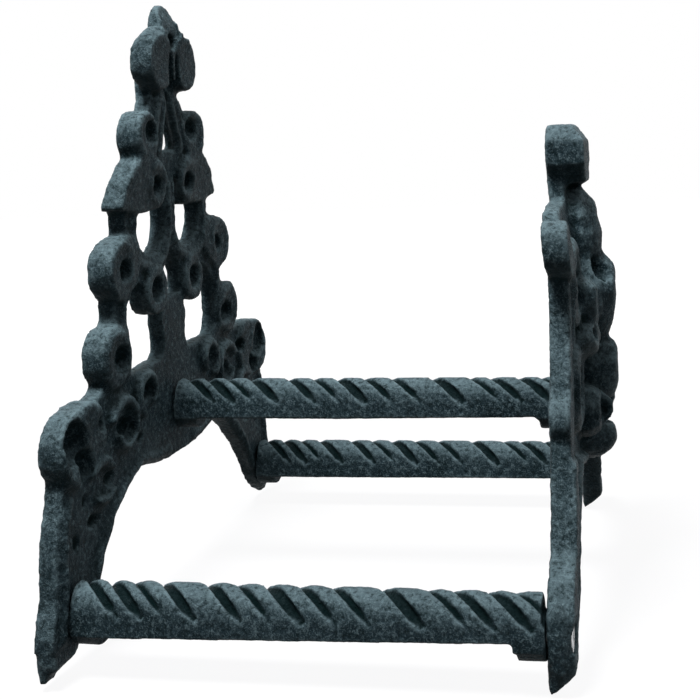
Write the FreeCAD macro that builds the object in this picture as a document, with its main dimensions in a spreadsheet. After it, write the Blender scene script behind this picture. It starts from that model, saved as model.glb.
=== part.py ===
import FreeCAD, Part
import math
import os

V = FreeCAD.Vector

doc = FreeCAD.newDocument("hose_hanger")

# Driving sizes, in millimetres. Rises and drops are from the lower bars' axes.
sizes = {
    "plate_gap": 170,  # clear length between the two castings
    "bar_spacing": 200,  # between the axes of the two lower bars
    "top_bar_rise": 54,
    "wall_plate_rise": 226,  # tip of the wall plate
    "front_plate_rise": 166,  # top of the front plate's cap
    "foot_drop": 25,
    "wall_seat": 7.5,  # wall plate's thickness where the bars butt against it
    "wall_lobe_relief": 10,
    "tip_lift": 4,  # the lobes round the tip stand forward of the wall
    "front_seat": 10,
    "front_web": 7,  # sunk ground between the front plate's scrolls
    "front_lobe_relief": 12.5,
    "cap_relief": 16,
    "ball_relief": 18,
    "leaf_relief": 23,
    "curl_relief": 21,
    "foot_bevel_rise": 8,  # bottom of each foot slopes up towards the front
    "bar_width": 17.4,
    "bar_height": 17.8,
    "top_bar_width": 16,
    "top_bar_height": 16.4,
    "bar_end_gap": 1,  # bar body short of the plate; only its screw lug touches
    "lug_radius": 8.6,
    "lug_length": 10,
    "round_sides": 16,  # the cast bars' rounds are made of flats
    "groove_lead": 48,  # length of one full turn of the twist
    "groove_width": 5,
    "groove_depth": 1.3,
    "screw_drop": 5.4,  # screw axis below the bar's axis
    "screw_width": 6,
    "screw_length": 24,
    "screw_fit": 0.3,  # clearance round the shank in the plates
    "thread_fit": 0.05,
    "thread_run": 2,  # tapped hole deeper than the screw reaches
    "head_width": 10.6,
    "head_height": 3.7,
    "head_fit": 0.6,
    "wall_recess": 4.3,
    "front_recess": 5,
    "drive_width": 5.2,
    "drive_slot": 1.2,
    "drive_depth": 1.8,
    "wall_hole_width": 6.5,
    "wall_hole_spread": 206,
    "wall_hole_rise": 64,
    "tip_hole_rise": 210,
}
sheet = doc.addObject("Spreadsheet::Sheet", "Sizes")
for row, (alias, value) in enumerate(sizes.items(), start=1):
    sheet.set(f"A{row}", alias)
    sheet.set(f"B{row}", str(value))
    sheet.setAlias(f"B{row}", alias)
doc.recompute()


def size(alias):
    return float(sheet.get(alias))


plateGap = size("plate_gap")
barSpacing = size("bar_spacing")
topBarRise = size("top_bar_rise")
footDrop = size("foot_drop")
wallSeat = size("wall_seat")
frontSeat = size("front_seat")
screwDrop = size("screw_drop")
wallHoleRise = size("wall_hole_rise")
throughReach = size("leaf_relief") + frontSeat
outward = V(0, -1, 0)

# The scrollwork is drawn once, to the right of the middle, with rises from the lower
# bars' axes. place() stretches the drawing to keep meeting the bars, feet and tip when
# their sizes change. The frame's origin is on the wall face, halfway between the two
# lower wall holes.
drawnBar = 100
drawnRise = 54
drawnDrop = 25
drawnTips = {"wall": 226, "front": 166}
tips = {"wall": size("wall_plate_rise"), "front": size("front_plate_rise")}


def place(plate, x, z):
    if z < 0:
        rise = z * footDrop / drawnDrop
    elif z < drawnRise:
        rise = z * topBarRise / drawnRise
    else:
        share = (z - drawnRise) / (drawnTips[plate] - drawnRise)
        rise = topBarRise + share * (tips[plate] - topBarRise)
    return V(x * barSpacing / 2 / drawnBar, 0, rise - wallHoleRise)


def prism(plate, start, rows, height):
    """A slab from a closed outline: rows of (end,) for a line or (through, end) for an arc."""
    edges = []
    here = place(plate, *start)
    for row in rows:
        there = place(plate, *row[-1])
        if len(row) == 2:
            edges.append(Part.Arc(here, place(plate, *row[0]), there).toShape())
        else:
            edges.append(Part.makeLine(here, there))
        here = there
    first = place(plate, *start)
    if not here.isEqual(first, 1e-6):
        edges.append(Part.makeLine(here, first))
    return Part.Face(Part.Wire(edges)).extrude(outward * height)


def disc(plate, centre, radius, height):
    return Part.makeCylinder(radius, height, place(plate, *centre), outward)


def pod(plate, a, b, radiusA, radiusB, height):
    """A tapered lobe: two round ends joined by their outer tangents."""
    a, b = place(plate, *a), place(plate, *b)
    run = b - a
    heading = math.atan2(run.z, run.x)
    lean = math.acos((radiusA - radiusB) / run.Length)

    def rim(centre, radius, angle):
        return centre + V(radius * math.cos(angle), 0, radius * math.sin(angle))

    a1, a2 = rim(a, radiusA, heading + lean), rim(a, radiusA, heading - lean)
    b1, b2 = rim(b, radiusB, heading + lean), rim(b, radiusB, heading - lean)
    wire = Part.Wire([
        Part.Arc(a1, rim(a, radiusA, heading + math.pi), a2).toShape(),
        Part.makeLine(a2, b2),
        Part.Arc(b2, rim(b, radiusB, heading), b1).toShape(),
        Part.makeLine(b1, a1),
    ])
    return Part.Face(wire).extrude(outward * height)


def polyhedron(sections):
    """A solid of flat triangles through matching sections, closed by its two end sections."""
    faces = [Part.Face(Part.makePolygon(end + end[:1])) for end in (sections[0], sections[-1])]
    for near, far in zip(sections, sections[1:]):
        for i in range(len(near)):
            a, b, c, d = near[i - 1], near[i], far[i], far[i - 1]
            for triangle in ([a, b, c, a], [a, c, d, a]):
                faces.append(Part.Face(Part.makePolygon(triangle)))
    solid = Part.Solid(Part.Shell(faces))
    return solid if solid.Volume > 0 else solid.reversed()


# A leaf's half outline from its stalk to its tip, in shares of its width and length
leafHalf = [(0.36, -0.32), (0.5, 0), (0.32, 0.32)]


def leaf(plate, centre, width, length, lean, low, high):
    """A faceted leaf: upright sides up to low, then slopes up to a smaller flat at high."""
    base = place(plate, *centre)
    shares = [(0, -0.5)] + leafHalf + [(0, 0.5)] + [(-x, z) for x, z in reversed(leafHalf)]
    turn = math.radians(lean)

    def outline(shrink, height):
        points = []
        for x, z in shares:
            x, z = x * width * shrink, z * length * shrink
            points.append(base + V(x * math.cos(turn) + z * math.sin(turn), -height,
                                   z * math.cos(turn) - x * math.sin(turn)))
        return points

    return polyhedron([outline(1, 0), outline(1, low), outline(0.45, high)])


def drill(plate, centre, radius):
    return Part.makeCylinder(radius, throughReach, place(plate, *centre), outward)


def bothSides(half):
    return half.fuse(half.mirror(V(), V(1, 0, 0))).removeSplitter()


def screwCentres(drop):
    """Screw axes in the plates: left, right and top."""
    lower = -wallHoleRise - drop
    return [V(-barSpacing / 2, 0, lower), V(barSpacing / 2, 0, lower), V(0, 0, topBarRise + lower)]


def footBevel():
    """The wedge taken off the front of the feet's undersides."""
    low = -wallHoleRise - footDrop - 1
    rise = size("foot_bevel_rise") + 1
    wide = barSpacing * 2
    corners = [V(0, 0, low), V(0, -2 * frontSeat, low), V(0, -2 * frontSeat, low + 2 * rise), V(0, 0, low)]
    wedge = Part.Face(Part.makePolygon(corners)).extrude(V(wide, 0, 0))
    wedge.translate(V(-wide / 2, 0, 0))
    return wedge


# Wall plate: an openwork scroll triangle with a rounded tip, standing on two legs


def wallPlate():
    plate = "wall"
    ground = prism(plate, (0, 206), [
        ((12, 206),), ((14, 188),), ((22, 176),), ((33, 163),), ((40, 157),), ((44.5, 146),),
        ((44.5, 132),), ((56, 116),), ((57, 102),), ((66, 84),), ((70, 75),), ((88, 72),), ((102, 62),),
        ((109, 48),), ((112, 24),), ((114.5, 5),), ((119, -6),), ((118, -20),), ((113, -25),),
        ((103, -20),), ((93, -9),), ((81, 7), (66, 21)), ((54, 30), (41, 35)), ((28, 32),),
        ((14, 30),), ((0, 30),),
    ], wallSeat)
    openings = [
        prism(plate, (0, 192), [((4, 188),), ((12.5, 164),), ((0, 163),)], throughReach),
        prism(plate, (4.5, 151), [  # loop under the drooping leaf
            ((10, 151),), ((12, 138.5),), ((33, 138.5),), ((30, 125), (19, 120.5)), ((9, 124), (4.5, 134)),
        ], throughReach),
        prism(plate, (0, 121), [((9.5, 110),), ((9.5, 100),), ((0, 100),)], throughReach),
        prism(plate, (13, 76), [  # tall opening under the curl
            ((17, 75),), ((44, 75),), ((48, 97), (34, 110)), ((12, 98),), ((13, 90),), ((11.5, 81),),
        ], throughReach),
    ]
    lobe = size("wall_lobe_relief")
    raised = [
        disc(plate, (25.5, 170), 11, lobe),
        prism(plate, (12, 159), [  # drooping leaf
            ((26, 164.5),), ((38, 160),), ((46, 152),), ((51.5, 142),), ((42, 140.5),), ((28, 138.5),),
            ((12, 139),),
        ], lobe),
        pod(plate, (46, 121), (53, 118.5), 11, 12, lobe),
        disc(plate, (61, 86), 12.5, lobe),
        pod(plate, (86, 62), (98, 60), 13, 14, lobe),
        disc(plate, (20, 105), 10.5, lobe),  # curl
    ]
    for tipLobe in (pod(plate, (0, 204), (0, 217), 11, 9, lobe), disc(plate, (13, 201), 12, lobe)):
        tipLobe.translate(outward * size("tip_lift"))
        raised.append(tipLobe)
    half = ground.cut(openings).fuse(raised)
    return bothSides(half.cut(drill(plate, (20, 105.5), 5.2)))


# Front plate: a lower, broader casting whose middle carries stacked leaves


def frontPlate():
    plate = "front"
    ground = prism(plate, (0, 145), [
        ((14, 145),), ((14, 136),), ((30, 136),), ((50, 134),), ((62, 122),), ((58, 105), (60, 88)),
        ((66, 74),), ((73, 50),), ((76, 36),), ((84, 17),), ((98, 12),), ((106, 2),), ((106, -15),),
        ((105, -25),), ((98, -25),), ((89, -8),), ((79, 9), (66, 22)), ((54, 29), (42, 34)), ((28, 31),),
        ((14, 28),), ((0, 28),),
    ], size("front_web"))
    lobe = size("front_lobe_relief")
    raised = [
        disc(plate, (59, 121), 10, lobe),
        disc(plate, (64, 60), 10, lobe),
        prism(plate, (54, 122), [  # side strip
            ((66, 122),), ((57, 105), (60, 88)), ((66, 74),), ((73, 50),), ((64, 50),), ((51, 88), (50, 110)),
        ], frontSeat),
        prism(plate, (66, 52), [  # leg
            ((73, 50),), ((76, 36),), ((84, 17),), ((98, 12),), ((106, 2),), ((106, -15),), ((105, -25),),
            ((98, -25),), ((89, -8),), ((79, 9), (66, 22)),
        ], frontSeat),
        disc(plate, (36, 106), 17, frontSeat),
        disc(plate, (38, 66), 17, frontSeat),
    ]
    openings = [drill(plate, (36, 106), 10.5), drill(plate, (38, 66), 9.5)]
    half = ground.fuse(raised).cut(openings)
    high = size("leaf_relief")
    curlHigh = size("curl_relief")
    relief = [
        prism(plate, (0, 166), [  # cap
            ((12, 166),), ((18, 160),), ((18, 150),), ((12, 142),), ((0, 142),),
        ], size("cap_relief")),
        leaf(plate, (0, 129), 26, 24, 0, lobe, size("ball_relief")),
        leaf(plate, (0, 100), 34, 42, 0, lobe, high),
        leaf(plate, (19, 96), 19, 28, 50, lobe, high - 3),
        leaf(plate, (21, 82), 17, 32, 85, lobe, curlHigh - 3),
        leaf(plate, (0, 70), 26, 30, 0, lobe, high),
        leaf(plate, (16, 52), 24, 22, 30, lobe, curlHigh),
        leaf(plate, (0, 39), 22, 22, 0, lobe, curlHigh),
    ]
    return bothSides(half.fuse(relief))


def plateObject(name, shape, back):
    item = doc.addObject("Part::Feature", name)
    item.Label = name
    item.Shape = shape
    item.Placement = FreeCAD.Placement(V(0, -back, 0), FreeCAD.Rotation())
    return item


screwRadius = size("screw_width") / 2
headRadius = size("head_width") / 2

# The wall plate's screws enter from its back
holes = [footBevel()]
for centre in screwCentres(screwDrop):
    holes.append(Part.makeCylinder(screwRadius + size("screw_fit"), throughReach, centre, outward))
    holes.append(Part.makeCylinder(headRadius + size("head_fit"), size("wall_recess"), centre, outward))
wallHoles = [V(side * size("wall_hole_spread") / 2, 0, 0) for side in (-1, 1)]
wallHoles.append(V(0, 0, size("tip_hole_rise") - wallHoleRise))
for centre in wallHoles:
    holes.append(Part.makeCylinder(size("wall_hole_width") / 2, throughReach, centre, outward))
plateObject("wall_plate", wallPlate().cut(holes), 0)

# The front plate's screws enter from its front, through the relief
holes = [footBevel()]
for centre in screwCentres(screwDrop):
    holes.append(Part.makeCylinder(screwRadius + size("screw_fit"), throughReach, centre, outward))
    holes.append(Part.makeCylinder(headRadius + size("head_fit"), throughReach,
                                   centre + outward * (frontSeat - size("front_recess")), outward))
plateObject("front_plate", frontPlate().cut(holes), wallSeat + plateGap)

# Bars: round-topped and flat underneath, with a slanted twist cast into the upper half
# and a screw lug under each end. Twist places are shares of the bar, unevenly spaced.
twistPlaces = [0.038, 0.09, 0.143, 0.206, 0.306, 0.371, 0.435, 0.506, 0.576, 0.682, 0.776, 0.829, 0.9, 0.955]


def primitive(kind, name, turn=0, **settings):
    """A Part primitive whose settings are expressions; turn tips it about X."""
    item = doc.addObject(kind, name)
    item.Placement = FreeCAD.Placement(V(), FreeCAD.Rotation(V(1, 0, 0), turn))
    for key, expression in settings.items():
        item.setExpression("Placement.Base." + key if key in "xyz" else key, expression)
    return item


def joined(name, items):
    item = doc.addObject("Part::MultiFuse", name)
    item.Shapes = items
    return item


def without(name, base, tool):
    item = doc.addObject("Part::Cut", name)
    item.Base, item.Tool = base, tool
    item.Refine = True
    return item


def twistGroove(radius, crown, along):
    """One channel, a V turned about the bar from side to side over its top."""
    depth, lip = size("groove_depth"), 0.1 * radius
    halfWidth = size("groove_width") / 2 * (depth + lip) / depth
    sections = []
    for angle in range(-90, 91, 45):
        floor = radius - depth if abs(angle) < 90 else radius
        shift = along + size("groove_lead") * angle / 360
        turn = math.radians(angle)
        sections.append([
            V(-r * math.sin(turn), -shift - w, crown + r * math.cos(turn))
            for r, w in ((floor, 0), (radius + lip, halfWidth), (radius + lip, -halfWidth))
        ])
    return polyhedron(sections)


def barObject(name, kind, x, z):
    """kind names the sizes to use; x and z are expressions for the bar's axis."""
    width, height = f"Sizes.{kind}_width", f"Sizes.{kind}_height"
    crown = f"({height} - {width}) / 2"
    length = "Sizes.plate_gap - 2 * Sizes.bar_end_gap"
    body = joined(name + "_body", [
        primitive("Part::Prism", name + "_round", 90, Circumradius=f"{width} / 2", Height=length,
                  Polygon="Sizes.round_sides", y="-Sizes.bar_end_gap", z=crown),
        primitive("Part::Box", name + "_flat", Length=width, Width=length, Height=f"{height} / 2 + {crown}",
                  x=f"-{width} / 2", y="Sizes.bar_end_gap - Sizes.plate_gap", z=f"-{height} / 2"),
    ])
    radius = size(kind + "_width") / 2
    grooves = doc.addObject("Part::Feature", name + "_grooves")
    middle = (size(kind + "_height") - size(kind + "_width")) / 2
    grooves.Shape = Part.makeCompound([twistGroove(radius, middle, share * plateGap) for share in twistPlaces])
    pieces = [without(name + "_twisted", body, grooves)]
    bores = []
    lugRadius = f"min(Sizes.lug_radius; {width} / 2)"
    for end, turn, at, low in (("wall", 90, "0", "-Sizes.lug_length"),
                               ("front", -90, "-Sizes.plate_gap", "-Sizes.plate_gap")):
        pieces.append(primitive("Part::Cylinder", f"{name}_{end}_lug", turn, Radius=lugRadius,
                                Height="Sizes.lug_length", y=at, z="-Sizes.screw_drop"))
        pieces.append(primitive("Part::Box", f"{name}_{end}_neck", Length="2 * " + lugRadius,
                                Width="Sizes.lug_length", Height="Sizes.screw_drop", x="-" + lugRadius,
                                y=low, z="-Sizes.screw_drop"))
        reach = f"Sizes.screw_length - Sizes.{end}_seat + Sizes.{end}_recess + Sizes.thread_run"
        bores.append(primitive("Part::Cylinder", f"{name}_{end}_bore", turn, Height=reach, y=at,
                               Radius="Sizes.screw_width / 2 + Sizes.thread_fit", z="-Sizes.screw_drop"))
    bar = without(name, joined(name + "_blank", pieces), joined(name + "_bores", bores))
    bar.Label = name
    for axis, expression in {"x": x, "y": "-Sizes.wall_seat", "z": z}.items():
        bar.setExpression("Placement.Base." + axis, expression)


barObject("left_bar", "bar", "-Sizes.bar_spacing / 2", "-Sizes.wall_hole_rise")
barObject("right_bar", "bar", "Sizes.bar_spacing / 2", "-Sizes.wall_hole_rise")
barObject("top_bar", "top_bar", "0", "Sizes.top_bar_rise - Sizes.wall_hole_rise")


# Screws: pan-head machine screws with a cross drive, modelled along +Z from under the head


def screwObject(name, turn, seat):
    """seat: expressions for the place under the head; turn about X aims the screw."""
    blank = joined(name + "_blank", [
        primitive("Part::Cylinder", name + "_shank", Radius="Sizes.screw_width / 2",
                  Height="Sizes.screw_length"),
        primitive("Part::Cylinder", name + "_head", Radius="Sizes.head_width / 2",
                  Height="Sizes.head_height", z="-Sizes.head_height"),
    ])
    slot = {"Height": "Sizes.drive_depth", "z": "-Sizes.head_height"}
    long, short = "Sizes.drive_width", "Sizes.drive_slot"
    drive = joined(name + "_drive", [
        primitive("Part::Box", name + "_across", Length=long, Width=short, x=f"-{long} / 2",
                  y=f"-{short} / 2", **slot),
        primitive("Part::Box", name + "_upright", Length=short, Width=long, x=f"-{short} / 2",
                  y=f"-{long} / 2", **slot),
    ])
    screw = without(name, blank, drive)
    screw.Label = name
    screw.Placement = FreeCAD.Placement(V(), FreeCAD.Rotation(V(1, 0, 0), turn))
    for axis, expression in seat.items():
        screw.setExpression("Placement.Base." + axis, expression)


lowerScrew = "-Sizes.wall_hole_rise - Sizes.screw_drop"
screwSeats = {
    "left": {"x": "-Sizes.bar_spacing / 2", "z": lowerScrew},
    "right": {"x": "Sizes.bar_spacing / 2", "z": lowerScrew},
    "top": {"x": "0", "z": lowerScrew + " + Sizes.top_bar_rise"},
}
for side, seat in screwSeats.items():
    screwObject("wall_screw_" + side, 90, seat | {"y": "-Sizes.wall_recess"})
    underHead = "Sizes.front_recess - Sizes.front_seat - Sizes.plate_gap - Sizes.wall_seat"
    screwObject("front_screw_" + side, -90, seat | {"y": underHead})

doc.recompute()

nodes = ["wall_plate", "front_plate", "left_bar", "right_bar", "top_bar"]
nodes += [f"{plate}_screw_{side}" for plate in ("wall", "front") for side in screwSeats]
for item in doc.Objects:
    if "Invalid" in item.State or "Error" in item.State:
        raise RuntimeError(f"{item.Name} did not build: {item.State}")
os.makedirs("parts", exist_ok=True)
for node in nodes:
    shape = doc.getObject(node).Shape
    if shape.isNull() or not shape.isValid():
        raise RuntimeError(f"{node} has no valid shape")
    print(node, len(shape.Solids), "solid", round(shape.Volume), "mm3")
    shape.exportStep(f"parts/{node}.step")
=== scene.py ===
import math

import bpy
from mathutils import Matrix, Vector


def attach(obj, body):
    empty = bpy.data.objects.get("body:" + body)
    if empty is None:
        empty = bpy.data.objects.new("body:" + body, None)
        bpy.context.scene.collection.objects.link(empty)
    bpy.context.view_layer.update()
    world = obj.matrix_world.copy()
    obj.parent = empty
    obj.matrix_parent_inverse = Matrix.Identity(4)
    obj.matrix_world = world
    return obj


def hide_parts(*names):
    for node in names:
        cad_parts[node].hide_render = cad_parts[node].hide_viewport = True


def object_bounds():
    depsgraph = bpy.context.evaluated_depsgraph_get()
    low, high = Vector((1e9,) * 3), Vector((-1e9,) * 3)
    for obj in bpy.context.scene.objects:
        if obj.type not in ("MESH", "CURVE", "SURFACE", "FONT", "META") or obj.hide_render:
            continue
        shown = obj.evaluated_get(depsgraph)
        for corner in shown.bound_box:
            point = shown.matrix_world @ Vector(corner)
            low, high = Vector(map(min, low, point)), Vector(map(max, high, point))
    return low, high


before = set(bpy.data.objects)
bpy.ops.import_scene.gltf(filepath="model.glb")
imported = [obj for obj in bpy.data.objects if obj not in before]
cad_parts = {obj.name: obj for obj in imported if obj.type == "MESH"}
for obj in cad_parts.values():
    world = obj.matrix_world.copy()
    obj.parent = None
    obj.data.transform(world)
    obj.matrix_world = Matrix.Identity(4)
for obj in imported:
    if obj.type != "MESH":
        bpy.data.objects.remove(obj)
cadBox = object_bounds()

mm = 0.001


def deselectAll():
    if bpy.context.object and bpy.context.object.mode != "OBJECT":
        bpy.ops.object.mode_set(mode="OBJECT")
    bpy.ops.object.select_all(action="DESELECT")


def pickUp(piece):
    deselectAll()
    piece.select_set(True)
    bpy.context.view_layer.objects.active = piece


def applyModifiers(piece):
    pickUp(piece)
    for modifier in list(piece.modifiers):
        bpy.ops.object.modifier_apply(modifier=modifier.name)


# Shader maths: a Signal is one socket, and sums and products of signals add Math nodes
class Signal:
    def __init__(self, finish, socket):
        self.finish = finish
        self.socket = socket

    def withOther(self, operation, first, second):
        return self.finish.node("ShaderNodeMath", {"operation": operation}, {0: first, 1: second})

    def __add__(self, other):
        return self.withOther("ADD", self, other)

    def __radd__(self, other):
        return self.withOther("ADD", other, self)

    def __mul__(self, other):
        return self.withOther("MULTIPLY", self, other)

    def __rmul__(self, other):
        return self.withOther("MULTIPLY", other, self)


# A Finish writes the node tree of a material, or of the world
class Finish:
    def __init__(self, owner):
        owner.use_nodes = True
        self.owner = owner
        self.tree = owner.node_tree
        self.tree.nodes.clear()

    def node(self, kind, settings=None, inputs=None, output=0):
        made = self.tree.nodes.new(kind)
        for key, value in (settings or {}).items():
            setattr(made, key, value)
        for key, value in (inputs or {}).items():
            if isinstance(value, Signal):
                self.tree.links.new(value.socket, made.inputs[key])
            else:
                made.inputs[key].default_value = value
        return Signal(self, made.outputs[output])

    # The Mix node's sockets have the same names for numbers and colours, so they go by number
    def blendColour(self, mask, first, second):
        return self.node("ShaderNodeMix", {"data_type": "RGBA"}, {0: mask, 6: first, 7: second}, 2)

    def noise(self, where, scale, detail=3, roughness=0.55):
        return self.node("ShaderNodeTexNoise", {}, {
            "Vector": where, "Scale": scale, "Detail": detail, "Roughness": roughness,
        })

    # 0 at start, 1 at end, with a soft rise between them
    def ramp(self, value, start, end):
        return self.node("ShaderNodeMapRange", {"interpolation_type": "SMOOTHSTEP"}, {
            "Value": value, "From Min": start, "From Max": end,
        })

    # 1 for rays from the camera, also by way of a mirror or glass, and 0 for light that bounces
    def seenDirectly(self):
        camera = self.node("ShaderNodeLightPath", output="Is Camera Ray")
        mirrored = self.node("ShaderNodeLightPath", output="Is Glossy Ray")
        throughGlass = self.node("ShaderNodeLightPath", output="Is Transmission Ray")
        either = self.node("ShaderNodeMath", {"operation": "MAXIMUM"}, {0: camera, 1: mirrored})
        return self.node("ShaderNodeMath", {"operation": "MAXIMUM"}, {0: either, 1: throughGlass})

    def surface(self, shader, kind="ShaderNodeOutputMaterial"):
        out = self.tree.nodes.new(kind)
        self.tree.links.new(shader.socket, out.inputs["Surface"])
        return self.owner


# Blue-black paint over sand-cast iron: edges and grains are paler where rubbed; painted light makes the
# tops paler, and painted shade darkens the undersides, hollows and channels
ironLook = {
    # dark for pits and random patches, and painted shade in hollows, underneath and in channels
    "darkPitsAndShade": (0.002, 0.010, 0.011, 1),
    "body": (0.013, 0.031, 0.042, 1),
    # pale for rubbed edges and grain flecks, and painted light on top faces
    "wearAndTopLight": (0.25, 0.36, 0.40, 1),
    "patchScale": 60,
    "grainScale": 520,
    "sandScale": 1500,
    "edge": (0.49, 0.54),  # pointiness, from a flat face to an edge
    "face": (0.455, 0.50),  # pointiness, from a hollow to a flat face
    "facingUp": (-0.1, 0.9),  # height of the normal
    "facingDown": (0.05, -0.75),
    "bodyPatches": (0.22, 0.55),  # heights of the noises
    "rubbedPatches": (0.34, 0.62),
    "grainPeaks": (0.53, 0.64),
    "grainPits": (0.50, 0.36),
    "sandPeaks": (0.53, 0.62),
    "paintedTopLight": 0.42,  # how far each mask blends its colour in
    "rubbed": 0.45,
    "grainFlecks": 0.4,
    "sandFlecks": 0.3,
    "pitted": 0.7,
    "shaded": 0.7,
    "channelShade": 0.9,
    "grainHeight": 1.8,
    "sandHeight": 0.6,
    "bumpDepth": 1.2,
    "roughness": 0.42,
    "roughnessSpread": 0.22,
    "roughSand": (0.3, 0.75),
    "specular": 0.05,
}


def sandCastIron():
    look = ironLook
    iron = Finish(bpy.data.materials.new("sandCastIron"))
    where = iron.node("ShaderNodeTexCoord", output="Object")
    facing = iron.node("ShaderNodeTexCoord", output="Normal")
    upward = iron.node("ShaderNodeSeparateXYZ", {}, {"Vector": facing}, "Z")
    pointed = iron.node("ShaderNodeNewGeometry", output="Pointiness")
    channel = iron.node("ShaderNodeAttribute", {"attribute_name": "hollow"}, output="Fac")
    patches = iron.noise(where, look["patchScale"], 4)
    grain = iron.noise(where, look["grainScale"], 5, 0.7)
    sand = iron.noise(where, look["sandScale"], 3, 0.7)
    face = iron.ramp(pointed, *look["face"])
    # Random patches take up to half of the body colour away, and hollows get the dark tone as painted shade
    body = (iron.ramp(patches, *look["bodyPatches"]) * 0.5 + 0.5) * face  # patches take up to half away
    # Painted light: faces turned upward are made paler, as if lit from above
    paintedTopLight = iron.ramp(upward, *look["facingUp"]) * face * look["paintedTopLight"]
    rubbed = iron.ramp(pointed, *look["edge"]) * iron.ramp(patches, *look["rubbedPatches"]) * look["rubbed"]
    grainFlecks = iron.ramp(grain, *look["grainPeaks"]) * face * look["grainFlecks"]
    sandFlecks = iron.ramp(sand, *look["sandPeaks"]) * face * look["sandFlecks"]
    tone = iron.blendColour(body, look["darkPitsAndShade"], look["body"])
    for mask in (paintedTopLight, rubbed, grainFlecks, sandFlecks):
        tone = iron.blendColour(mask, tone, look["wearAndTopLight"])
    # Grain pits get the dark tone; faces turned downward and the bars' channels get it as painted shade
    pitted = iron.ramp(grain, *look["grainPits"]) * look["pitted"]
    shaded = iron.ramp(upward, *look["facingDown"]) * look["shaded"]
    for mask in (pitted, shaded, channel * look["channelShade"]):
        tone = iron.blendColour(mask, tone, look["darkPitsAndShade"])
    normal = iron.node("ShaderNodeBump", {}, {
        "Height": grain * look["grainHeight"] + sand * look["sandHeight"],
        "Strength": 1.0,
        "Distance": look["bumpDepth"] * mm,
    })
    rough = iron.ramp(sand, *look["roughSand"]) * look["roughnessSpread"] + look["roughness"]
    return iron.surface(iron.node("ShaderNodeBsdfPrincipled", {}, {
        "Base Color": tone, "Roughness": rough, "Normal": normal, "Specular IOR Level": look["specular"],
    }))


zincLook = {
    "bright": (0.60, 0.61, 0.62, 1),
    "dull": (0.36, 0.37, 0.38, 1),
    "patchScale": 900,
    "tonePatches": (0.35, 0.7),
    "roughPatches": (0.3, 0.7),
    "bumpStrength": 0.2,
    "bumpDepth": 0.1,
    "roughness": 0.25,
    "roughnessSpread": 0.15,
}


def dullZinc():
    look = zincLook
    zinc = Finish(bpy.data.materials.new("dullZinc"))
    where = zinc.node("ShaderNodeTexCoord", output="Object")
    patches = zinc.noise(where, look["patchScale"])
    tone = zinc.blendColour(zinc.ramp(patches, *look["tonePatches"]), look["dull"], look["bright"])
    normal = zinc.node("ShaderNodeBump", {}, {
        "Height": patches, "Strength": look["bumpStrength"], "Distance": look["bumpDepth"] * mm,
    })
    rough = zinc.ramp(patches, *look["roughPatches"]) * look["roughnessSpread"] + look["roughness"]
    return zinc.surface(zinc.node("ShaderNodeBsdfPrincipled", {}, {
        "Base Color": tone, "Metallic": 1.0, "Roughness": rough, "Normal": normal,
    }))


ironMaterial = sandCastIron()
zincMaterial = dullZinc()
print("iron and zinc are mixed")


def mergedCopy(node, name):
    piece = bpy.data.objects.new(name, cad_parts[node].data.copy())
    bpy.context.scene.collection.objects.link(piece)
    piece.data.materials.clear()
    pickUp(piece)
    bpy.ops.object.mode_set(mode="EDIT")
    bpy.ops.mesh.select_all(action="SELECT")
    bpy.ops.mesh.remove_doubles(threshold=1e-6)
    bpy.ops.object.mode_set(mode="OBJECT")
    return piece


def turnedDegrees(x, y, z):
    return (math.radians(x), math.radians(y), math.radians(z))


# Places are drawn as on the plates: x from the middle, z from the lower bars, depth from a plate's back
drawnOrigin = 64
plateBack = {"wall": 0, "front": 177.5}
barPlaces = {"left": (-100, 0), "right": (100, 0), "top": (0, 54)}
pastPlate = 30  # length of a rod that passes any plate


def spot(plate, x, z, depth):
    return Vector((x, -plateBack[plate] - depth, z - drawnOrigin)) * mm


def sphere(plate, x, z, depth, radii, lean=0):
    bpy.ops.mesh.primitive_uv_sphere_add(
        segments=24, ring_count=14, radius=mm, location=spot(plate, x, z, depth),
        rotation=turnedDegrees(0, lean, 0), scale=radii,
    )
    return bpy.context.object


def rod(plate, x, z, depth, radius, length):
    bpy.ops.mesh.primitive_cylinder_add(
        vertices=32, radius=radius * mm, depth=length * mm,
        location=spot(plate, x, z, depth + length / 2), rotation=turnedDegrees(90, 0, 0),
    )
    return bpy.context.object


def block(plate, x, z, depth, sides, tilt=0):
    bpy.ops.mesh.primitive_cube_add(
        size=mm, location=spot(plate, x, z, depth), rotation=turnedDegrees(tilt, 0, 0), scale=sides,
    )
    return bpy.context.object


# A round tube with closed ends
def tube(places, radius):
    curve = bpy.data.curves.new("tube", "CURVE")
    curve.dimensions = "3D"
    curve.bevel_depth = radius * mm
    curve.bevel_resolution = 2
    curve.use_fill_caps = True
    spline = curve.splines.new("POLY")
    spline.points.add(len(places) - 1)
    for point, place in zip(spline.points, places):
        point.co = (*place, 1)
    piece = bpy.data.objects.new("tube", curve)
    bpy.context.scene.collection.objects.link(piece)
    pickUp(piece)
    bpy.ops.object.convert(target="MESH")
    return piece


# A rounded strand through points (x, z) at one depth
def strand(plate, points, depth, radius):
    return tube([spot(plate, x, z, depth) for x, z in points], radius)


# A scroll that winds in from one radius to another; angles in degrees from +X to +Z
def scroll(plate, side, centre, radii, start, sweep, depth, radius):
    steps = 20
    points = []
    for step in range(steps + 1):
        share = step / steps
        angle = math.radians(start + sweep * share)
        reach = radii[0] + (radii[1] - radii[0]) * share
        points.append((side * (centre[0] + reach * math.cos(angle)), centre[1] + reach * math.sin(angle)))
    return strand(plate, points, depth, radius)


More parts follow.
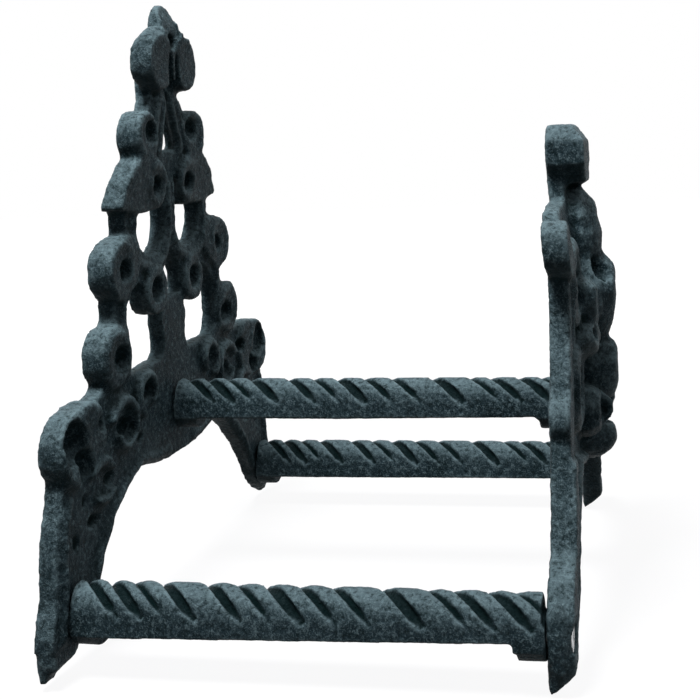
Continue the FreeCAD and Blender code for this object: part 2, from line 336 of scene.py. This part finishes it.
def joinTo(piece, extras):
    deselectAll()
    for extra in extras:
        extra.select_set(True)
    piece.select_set(True)
    bpy.context.view_layer.objects.active = piece
    bpy.ops.object.transform_apply(location=True, rotation=True, scale=True)
    bpy.ops.object.join()
    return piece


def skinRemesh(piece, voxel):
    remesh = piece.modifiers.new("Remesh", "REMESH")
    remesh.mode = "VOXEL"
    remesh.voxel_size = voxel * mm
    remesh.adaptivity = 0


cutterVoxel = 0.6
lumpLevel = 0.62  # a little over half, so that more of the skin sinks than stands out


# Cuts the hollows with one merged cutter
def carve(piece, cutters):
    cutter = joinTo(cutters[0], cutters[1:])
    skinRemesh(cutter, cutterVoxel)
    applyModifiers(cutter)
    hollow = piece.modifiers.new("Hollow", "BOOLEAN")
    hollow.operation = "DIFFERENCE"
    hollow.solver = "MANIFOLD"
    hollow.object = cutter
    applyModifiers(piece)
    pickUp(cutter)
    bpy.ops.object.delete()


# 0 below low, 1 above high, and a soft rise between them
def eased(value, low, high):
    share = min(max((value - low) / (high - low), 0), 1)
    return share * share * (3 - 2 * share)


# Moves each point by shift(x, z), which gives millimetres along x, y and z
def warp(piece, shift):
    for vertex in piece.data.vertices:
        vertex.co += Vector(shift(vertex.co.x / mm, vertex.co.z / mm + drawnOrigin)) * mm


# Rounds a casting's edges and gives it the lumpy skin that a sand mould leaves
def castSkin(piece, look):
    skinRemesh(piece, look["voxel"])
    smooth = piece.modifiers.new("Round", "SMOOTH")
    smooth.factor = 0.5
    smooth.iterations = look["rounding"]
    for index, (size, depth) in enumerate(look["lumps"]):
        clouds = bpy.data.textures.new(f"{piece.name}Lumps{index}", "CLOUDS")
        clouds.noise_scale = size * mm
        clouds.noise_depth = 2
        displace = piece.modifiers.new(f"Lumps{index}", "DISPLACE")
        displace.texture = clouds
        displace.texture_coords = "LOCAL"
        displace.strength = depth * mm
        displace.mid_level = lumpLevel
    applyModifiers(piece)
    bpy.ops.object.shade_smooth()


# Keeps the skin in the solids' box and puts the piece in its node's place
def finishPiece(piece, node):
    for vertex in piece.data.vertices:
        vertex.co = [min(max(value, low), high) for value, low, high in zip(vertex.co, *cadBox)]
    piece.data.materials.clear()
    piece.data.materials.append(ironMaterial)
    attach(piece, "root")
    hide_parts(node)
    print(piece.name, len(piece.data.polygons), "faces")


plateLook = {
    "voxel": 1.05,
    "rounding": 4,
    "lumps": [(6, 0.8), (1.9, 0.45)],  # size and height
}

# Wall plate: the casting with carved hollows, beads along its rims and wound scrolls
wallRelief = {
    "lobeFront": 10.5,  # depth of the hollows' centres
    "hollows": [  # x, z, half width, half height, depth of the cut
        (101, 63, 8.5, 8.5, 7), (92, 52, 6.5, 7, 7), (57, 84, 7, 5.5, 6.5), (21, 172, 6, 5, 5.5),
        (17, 149, 4.5, 4.5, 7), (34, 65, 5, 5, 7), (55, 56, 7, 5.5, 7),
        (76, 64, 4, 3.5, 6), (70, 41, 5, 4, 6), (84, 26, 6, 3.5, 6), (90, 38, 3, 5, 5),
        (41, 48, 4, 3, 5), (50, 118, 4.5, 4.5, 6), (98, 22, 3, 6, 5), (100, 2, 3, 5, 5),
    ],
    "beadRadius": 2.4,
    "beadDepth": 7.2,
    "beads": [
        [(12, 34), (28, 36), (42, 39), (56, 33), (68, 25), (80, 12), (89, -3)],
        [(104, 44), (107, 25), (109, 6), (112, -10)],
        [(14, 149), (28, 153), (40, 150), (48, 144)],
        [(6, 190), (12, 178), (17, 164)],
        [(3, 190), (5, 180), (8.5, 171), (12, 162)],
        [(50, 108), (51, 98), (49, 88), (50, 76)],
        [(36, 140), (38, 128), (32, 118), (20, 114.5), (8, 118), (2, 128), (2, 150)],
    ],
    "scrollRadius": 2.2,
    "scrollDepth": 9,
    "scrolls": [  # centre, radii, start, sweep
        ((34, 65), (10, 5), -60, 300), ((56, 57), (12, 6), 20, 330), ((17, 149), (9, 6), 60, 330),
        ((98, 60), (12, 9), -80, 260), ((60, 86), (10, 7), -40, 300), ((52, 119), (11, 8), -60, 280),
        ((78, 40), (11, 6), 40, 280), ((25, 171), (9, 7), -60, 280), ((13, 201), (9.5, 8), -70, 260),
    ],
    "footCorner": (114.6, -18.9, 1.9, (7, 3.6, 11.4)),  # x, z, depth of the centre, sides
    "leftCurl": (-13, 203, 8.7, (12.3, 5.2, 13.5)),  # x, z, depth of the centre, half sizes
    "tipFront": 14.5,
    "tipHollows": [(0, 209, 3, 3, 4), (3.4, 193, 2.3, 13, 6.5)],
    "tipDisc": (13, 201, 12.2),  # x, z, radius
    "tipLeaf": (0, 215.9, 17.2, (17, 12, 30), -18.4),  # x, z, depth of the centre, sides, tilt
    "tipBrow": (0, 223.2, 16.6, (40, 12, 24), -26.6),
}

# The casting isn't even. Lengths in mm; each pair is where the change starts and where it is complete
wallUneven = {
    "neckForward": 1.5,
    "neckStart": (142, 160),
    "neckEnd": (180, 195),
    "tipForward": 1.8,
    "tipStart": (205, 218),
    "leftDrop": 0.045,  # for each mm left of the middle
    "dropStart": (22, 44),
    "lobeInward": 3,
    "lobeSide": (84, 108),
    "lobeStart": (28, 50),
    "footRise": 2.2,
    "footStart": (12, 22),
}


# Neck and tip stand forward, the left side sits lower, its big lobe further in, and the feet end higher
def wallShift(x, z):
    by = wallUneven
    neck = by["neckForward"] * eased(z, *by["neckStart"]) * (1 - eased(z, *by["neckEnd"]))
    forward = neck + by["tipForward"] * eased(z, *by["tipStart"])
    drop = by["leftDrop"] * max(-x, 0) * eased(z, *by["dropStart"])
    inward = by["lobeInward"] * eased(-x, *by["lobeSide"]) * eased(z, *by["lobeStart"])
    foot = by["footRise"] * eased(-z, *by["footStart"])
    return (inward, -forward, foot - drop)


def wallPlate():
    relief = wallRelief
    plate = mergedCopy("wall_plate", "wallPlate")
    extras = []
    for side in (1, -1):
        for bead in relief["beads"]:
            points = [(side * x, z) for x, z in bead]
            extras.append(strand("wall", points, relief["beadDepth"], relief["beadRadius"]))
        for centre, radii, start, sweep in relief["scrolls"]:
            extras.append(scroll("wall", side, centre, radii, start, sweep,
                                 relief["scrollDepth"], relief["scrollRadius"]))
        x, z, depth, sides = relief["footCorner"]
        extras.append(block("wall", side * x, z, depth, sides))
    extras.append(sphere("wall", *relief["leftCurl"]))
    joinTo(plate, extras)
    skinRemesh(plate, plateLook["voxel"])
    hollows = [(relief["lobeFront"], hollow) for hollow in relief["hollows"]]
    hollows += [(relief["tipFront"], hollow) for hollow in relief["tipHollows"]]
    cutters = []
    for side in (1, -1):
        for front, (x, z, halfWidth, halfHeight, depth) in hollows:
            cutters.append(sphere("wall", side * x, z, front, (halfWidth, depth, halfHeight)))
    # The leaf stands behind the two discs beside it, so its cutter has their shape taken out
    leafCutter = block("wall", *relief["tipLeaf"])
    x, z, radius = relief["tipDisc"]
    carve(leafCutter, [rod("wall", side * x, z, 0, radius, pastPlate) for side in (1, -1)])
    cutters.append(leafCutter)
    cutters.append(block("wall", *relief["tipBrow"]))
    carve(plate, cutters)
    warp(plate, wallShift)
    castSkin(plate, plateLook)
    finishPiece(plate, "wall_plate")


# Front plate: rounded leaves stacked over the casting's faceted ones
frontRelief = {
    "leaves": [  # x, z, depth of the centre, half sizes, lean; the last is the swelling beside the screw
        (0, 122, 8.5, (13, 10.5, 17), 0), (0, 95, 9.5, (13, 13.5, 22), 0), (19, 96, 6, (8, 11, 14), 50),
        (21, 82, 6, (7.5, 10, 15), 85), (0, 63, 11, (11, 12.5, 15), 0), (16, 52, 6, (10, 11.5, 10), 30),
        (0, 38, 10, (9, 12, 10), 0), (106, -5, 4.2, (2.2, 4.5, 14), 0),
    ],
    "hollows": [  # x, z, depth of the centre, half sizes
        (59, 121, 12.5, (5, 4, 5)), (8, 108, 17, (3, 6, 6)), (30, 104, 17, (3, 5, 3)),
        (16, 52, 17, (4, 6, 4)), (26, 84, 17, (4, 6, 3)),
    ],
    "beads": [
        [(12, 32), (28, 35), (42, 38), (56, 33), (68, 25), (80, 12), (90, -4)],
    ],
    "scrolls": [((36, 106), (14, 13), -40, 330), ((38, 66), (13.5, 12.5), -60, 330)],
    "beadDepth": 8.6,
    "beadRadius": 2.4,
    "screwRecess": 5.9,  # radius
    "screwDrop": 5.4,  # below the bar's middle
    "screwFloor": 5,
    "trims": [  # x, z, depth of the centre, sides, tilt
        (65, 78, 13.3, (26, 10, 64), 0),  # keeps the side strips thin
        (60, 121, 15, (26, 10, 26), 0),  # the knobs on top of the strips
        (31, 74, 22.5, (35, 12, 76), 0),  # keeps the side leaves low
        (0, 166, 18.4, (60, 12, 12), -35.5),  # the cap's sloped brow
        (0, 70, -5, (240, 10, 200), 0),  # what stands out behind the back
    ],
    "capRise": 1,
    "capBack": 3,
    "capStart": (108, 148),
}


# The cap and the top leaf stand back from the rest, and a little higher
def frontShift(x, z):
    share = eased(z, *frontRelief["capStart"])
    return (0, frontRelief["capBack"] * share, frontRelief["capRise"] * share)


# Side 1 is drawn, side -1 is its mirror image, and what lies on the middle line is made once
def frontPlate():
    relief = frontRelief
    plate = mergedCopy("front_plate", "frontPlate")
    extras = []
    for side in (1, -1):
        for bead in relief["beads"]:
            points = [(side * x, z) for x, z in bead]
            extras.append(strand("front", points, relief["beadDepth"], relief["beadRadius"]))
        for centre, radii, start, sweep in relief["scrolls"]:
            extras.append(scroll("front", side, centre, radii, start, sweep,
                                 relief["beadDepth"], relief["beadRadius"]))
        for x, z, depth, radii, lean in relief["leaves"]:
            if x or side == 1:
                extras.append(sphere("front", side * x, z, depth, radii, side * lean))
    joinTo(plate, extras)
    skinRemesh(plate, plateLook["voxel"])
    cutters = []
    for x, z in barPlaces.values():
        cutters.append(rod("front", x, z - relief["screwDrop"], relief["screwFloor"],
                           relief["screwRecess"], pastPlate))
    for side in (1, -1):
        for x, z, depth, radii in relief["hollows"]:
            cutters.append(sphere("front", side * x, z, depth, radii))
        for x, z, depth, sides, tilt in relief["trims"]:
            if x or side == 1:
                cutters.append(block("front", side * x, z, depth, sides, tilt))
    carve(plate, cutters)
    warp(plate, frontShift)
    castSkin(plate, plateLook)
    finishPiece(plate, "front_plate")


wallPlate()
frontPlate()

# Bars: the slanted channels are cut deeper, and the underside rises towards the front plate
barLook = {
    "voxel": 0.62,
    "rounding": 2,
    "lumps": [(5, 0.3), (1.6, 0.25)],
    "start": 7.5,
    "length": 170,
    "channels": [  # where they cross the bar's top, as shares of its length
        0.038, 0.09, 0.143, 0.206, 0.306, 0.371, 0.435, 0.506, 0.576, 0.682, 0.776, 0.829, 0.9, 0.955,
    ],
    "lead": 48,  # length along the bar for one full turn
    "reach": (-75, 98),  # degrees from the top of the bar
    "fadeFrom": 60,
    "fadeOut": 1.8,
    "inset": 1.1,  # of a channel's middle line from the bar's radius
    "halfWidth": 1.6,
    "widthChange": 0.5,
    "widthRhythm": 2.3,
    "underside": 8.9,  # from the bar's middle
    "betweenLugs": 148,
    "cutterSize": (30, 20),  # width and height under the bar
    "darkDepth": (0.8, 1.8),  # below the bar's radius
    "darkHeight": (-3, 1),  # above the bar's middle
}
bars = {"left": (8.9, 3.2), "right": (8.9, 0.8), "top": (8.2, 1.6)}  # radius, rise of the underside


# The cutter of one channel: part of a helix, which leaves the bar at its lower end
def channelCutter(x, z, reach, share, halfWidth):
    steps = 11
    low, high = barLook["reach"]
    places = []
    for step in range(steps + 1):
        angle = low + (high - low) * step / steps
        turn = math.radians(angle)
        along = barLook["start"] + barLook["length"] * share + barLook["lead"] * angle / 360
        out = reach + barLook["fadeOut"] * eased(angle, barLook["fadeFrom"], high)
        places.append(spot("wall", x - out * math.sin(turn), z + out * math.cos(turn), along))
    return tube(places, halfWidth)


def undersideCutter(x, z, rise):
    length = barLook["betweenLugs"]
    width, height = barLook["cutterSize"]
    middle = barLook["start"] + barLook["length"] / 2
    low = z - barLook["underside"] - height / 2 + rise / 2
    return block("wall", x, low, middle, (width, length, height), -math.degrees(rise / length))


# Marks how deep each point lies in a channel, for the painted shade in the iron's colour
def markChannels(bar, x, z, radius):
    hollow = bar.data.attributes.new("hollow", "FLOAT", "POINT")
    for vertex, mark in zip(bar.data.vertices, hollow.data):
        across = vertex.co.x / mm - x
        up = vertex.co.z / mm + drawnOrigin - z
        below = radius - math.hypot(across, up)
        mark.value = eased(below, *barLook["darkDepth"]) * eased(up, *barLook["darkHeight"])


def twistedBar(place, radius, rise):
    x, z = barPlaces[place]
    bar = mergedCopy(f"{place}_bar", f"{place}Bar")
    skinRemesh(bar, barLook["voxel"])
    cutters = []
    for index, share in enumerate(barLook["channels"]):
        change = barLook["widthChange"] * math.sin(index * barLook["widthRhythm"])
        cutters.append(channelCutter(x, z, radius - barLook["inset"], share, barLook["halfWidth"] + change))
    cutters.append(undersideCutter(x, z, rise))
    carve(bar, cutters)
    castSkin(bar, barLook)
    markChannels(bar, x, z, radius)
    finishPiece(bar, f"{place}_bar")


for place, (radius, rise) in bars.items():
    twistedBar(place, radius, rise)

# The screws keep their own shape
for plateName in plateBack:
    for place in barPlaces:
        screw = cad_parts[f"{plateName}_screw_{place}"]
        screw.data.materials.clear()
        screw.data.materials.append(zincMaterial)
print("screws are plated")


# Floor, lights and camera
room = {
    "floorDrop": 0.2 * mm,
    "floorSize": 6,
    "floorTone": (0.08, 0.08, 0.08, 1),
    "nearGlow": (0.93, 0.93, 0.935, 1),
    "farGlow": (1.1, 1.1, 1.1, 1),
    "glowReach": (0.3, 0.8),
    "worldTone": (1, 1, 1, 1),
    "worldLight": 0.03,
}


def paleFloor():
    low = cadBox[0][2] - room["floorDrop"]
    deselectAll()
    bpy.ops.mesh.primitive_plane_add(size=room["floorSize"], location=(0, 0, low))
    floor = bpy.context.object
    floor.name = "floor"
    finish = Finish(bpy.data.materials.new("paleFloor"))
    diffuse = finish.node("ShaderNodeBsdfDiffuse", {}, {"Color": room["floorTone"]})
    where = finish.node("ShaderNodeTexCoord", output="Object")
    reach = finish.node("ShaderNodeVectorMath", {"operation": "LENGTH"}, {0: where}, "Value")
    tone = finish.blendColour(finish.ramp(reach, *room["glowReach"]), room["nearGlow"], room["farGlow"])
    glow = finish.node("ShaderNodeEmission", {}, {"Color": tone})
    both = finish.node("ShaderNodeAddShader", {}, {0: diffuse, 1: glow})
    shader = finish.node("ShaderNodeMixShader", {}, {0: finish.seenDirectly(), 1: diffuse, 2: both})
    floor.data.materials.append(finish.surface(shader))


def whiteWorld():
    world = bpy.data.worlds.new("white")
    bpy.context.scene.world = world
    sky = Finish(world)
    seen = sky.seenDirectly()
    strength = sky.node("ShaderNodeMapRange", {}, {"Value": seen, "To Min": room["worldLight"]})
    background = sky.node("ShaderNodeBackground", {}, {"Color": room["worldTone"], "Strength": strength})
    sky.surface(background, "ShaderNodeOutputWorld")


lamps = [
    {"name": "key", "at": (-0.4, 0.05, 1.03), "size": 0.3, "watts": 17},
    {"name": "side", "at": (-0.9, -0.8, 0.25), "size": 0.7, "watts": 1.1},
    {"name": "back", "at": (0.5, -0.6, 0.9), "size": 0.6, "watts": 3},
]


def softLamps():
    middle = (cadBox[0] + cadBox[1]) / 2
    for lamp in lamps:
        light = bpy.data.lights.new(lamp["name"], "AREA")
        light.energy = lamp["watts"]
        light.size = lamp["size"]
        holder = bpy.data.objects.new(lamp["name"], light)
        bpy.context.scene.collection.objects.link(holder)
        holder.location = lamp["at"]
        holder.rotation_euler = (middle - Vector(lamp["at"])).to_track_quat("-Z", "Y").to_euler()


view = {
    "at": (-0.4821, -0.2164, 0.0962),
    "turn": (86.165, 2.272, -79.982),
    "lens": 60.04,
    "sensor": 36,
    "shift": (-0.135, -0.18),
    "clipStart": 0.01,
}


def photoCamera():
    camera = bpy.data.cameras.new("camera")
    camera.lens = view["lens"]
    camera.sensor_width = view["sensor"]
    camera.shift_x, camera.shift_y = view["shift"]
    camera.clip_start = view["clipStart"]
    holder = bpy.data.objects.new("camera", camera)
    bpy.context.scene.collection.objects.link(holder)
    holder.location = view["at"]
    holder.rotation_euler = turnedDegrees(*view["turn"])
    bpy.context.scene.camera = holder


paleFloor()
whiteWorld()
softLamps()
photoCamera()
bpy.context.scene.view_settings.view_transform = "Standard"
print("floor, lights and camera are in place")
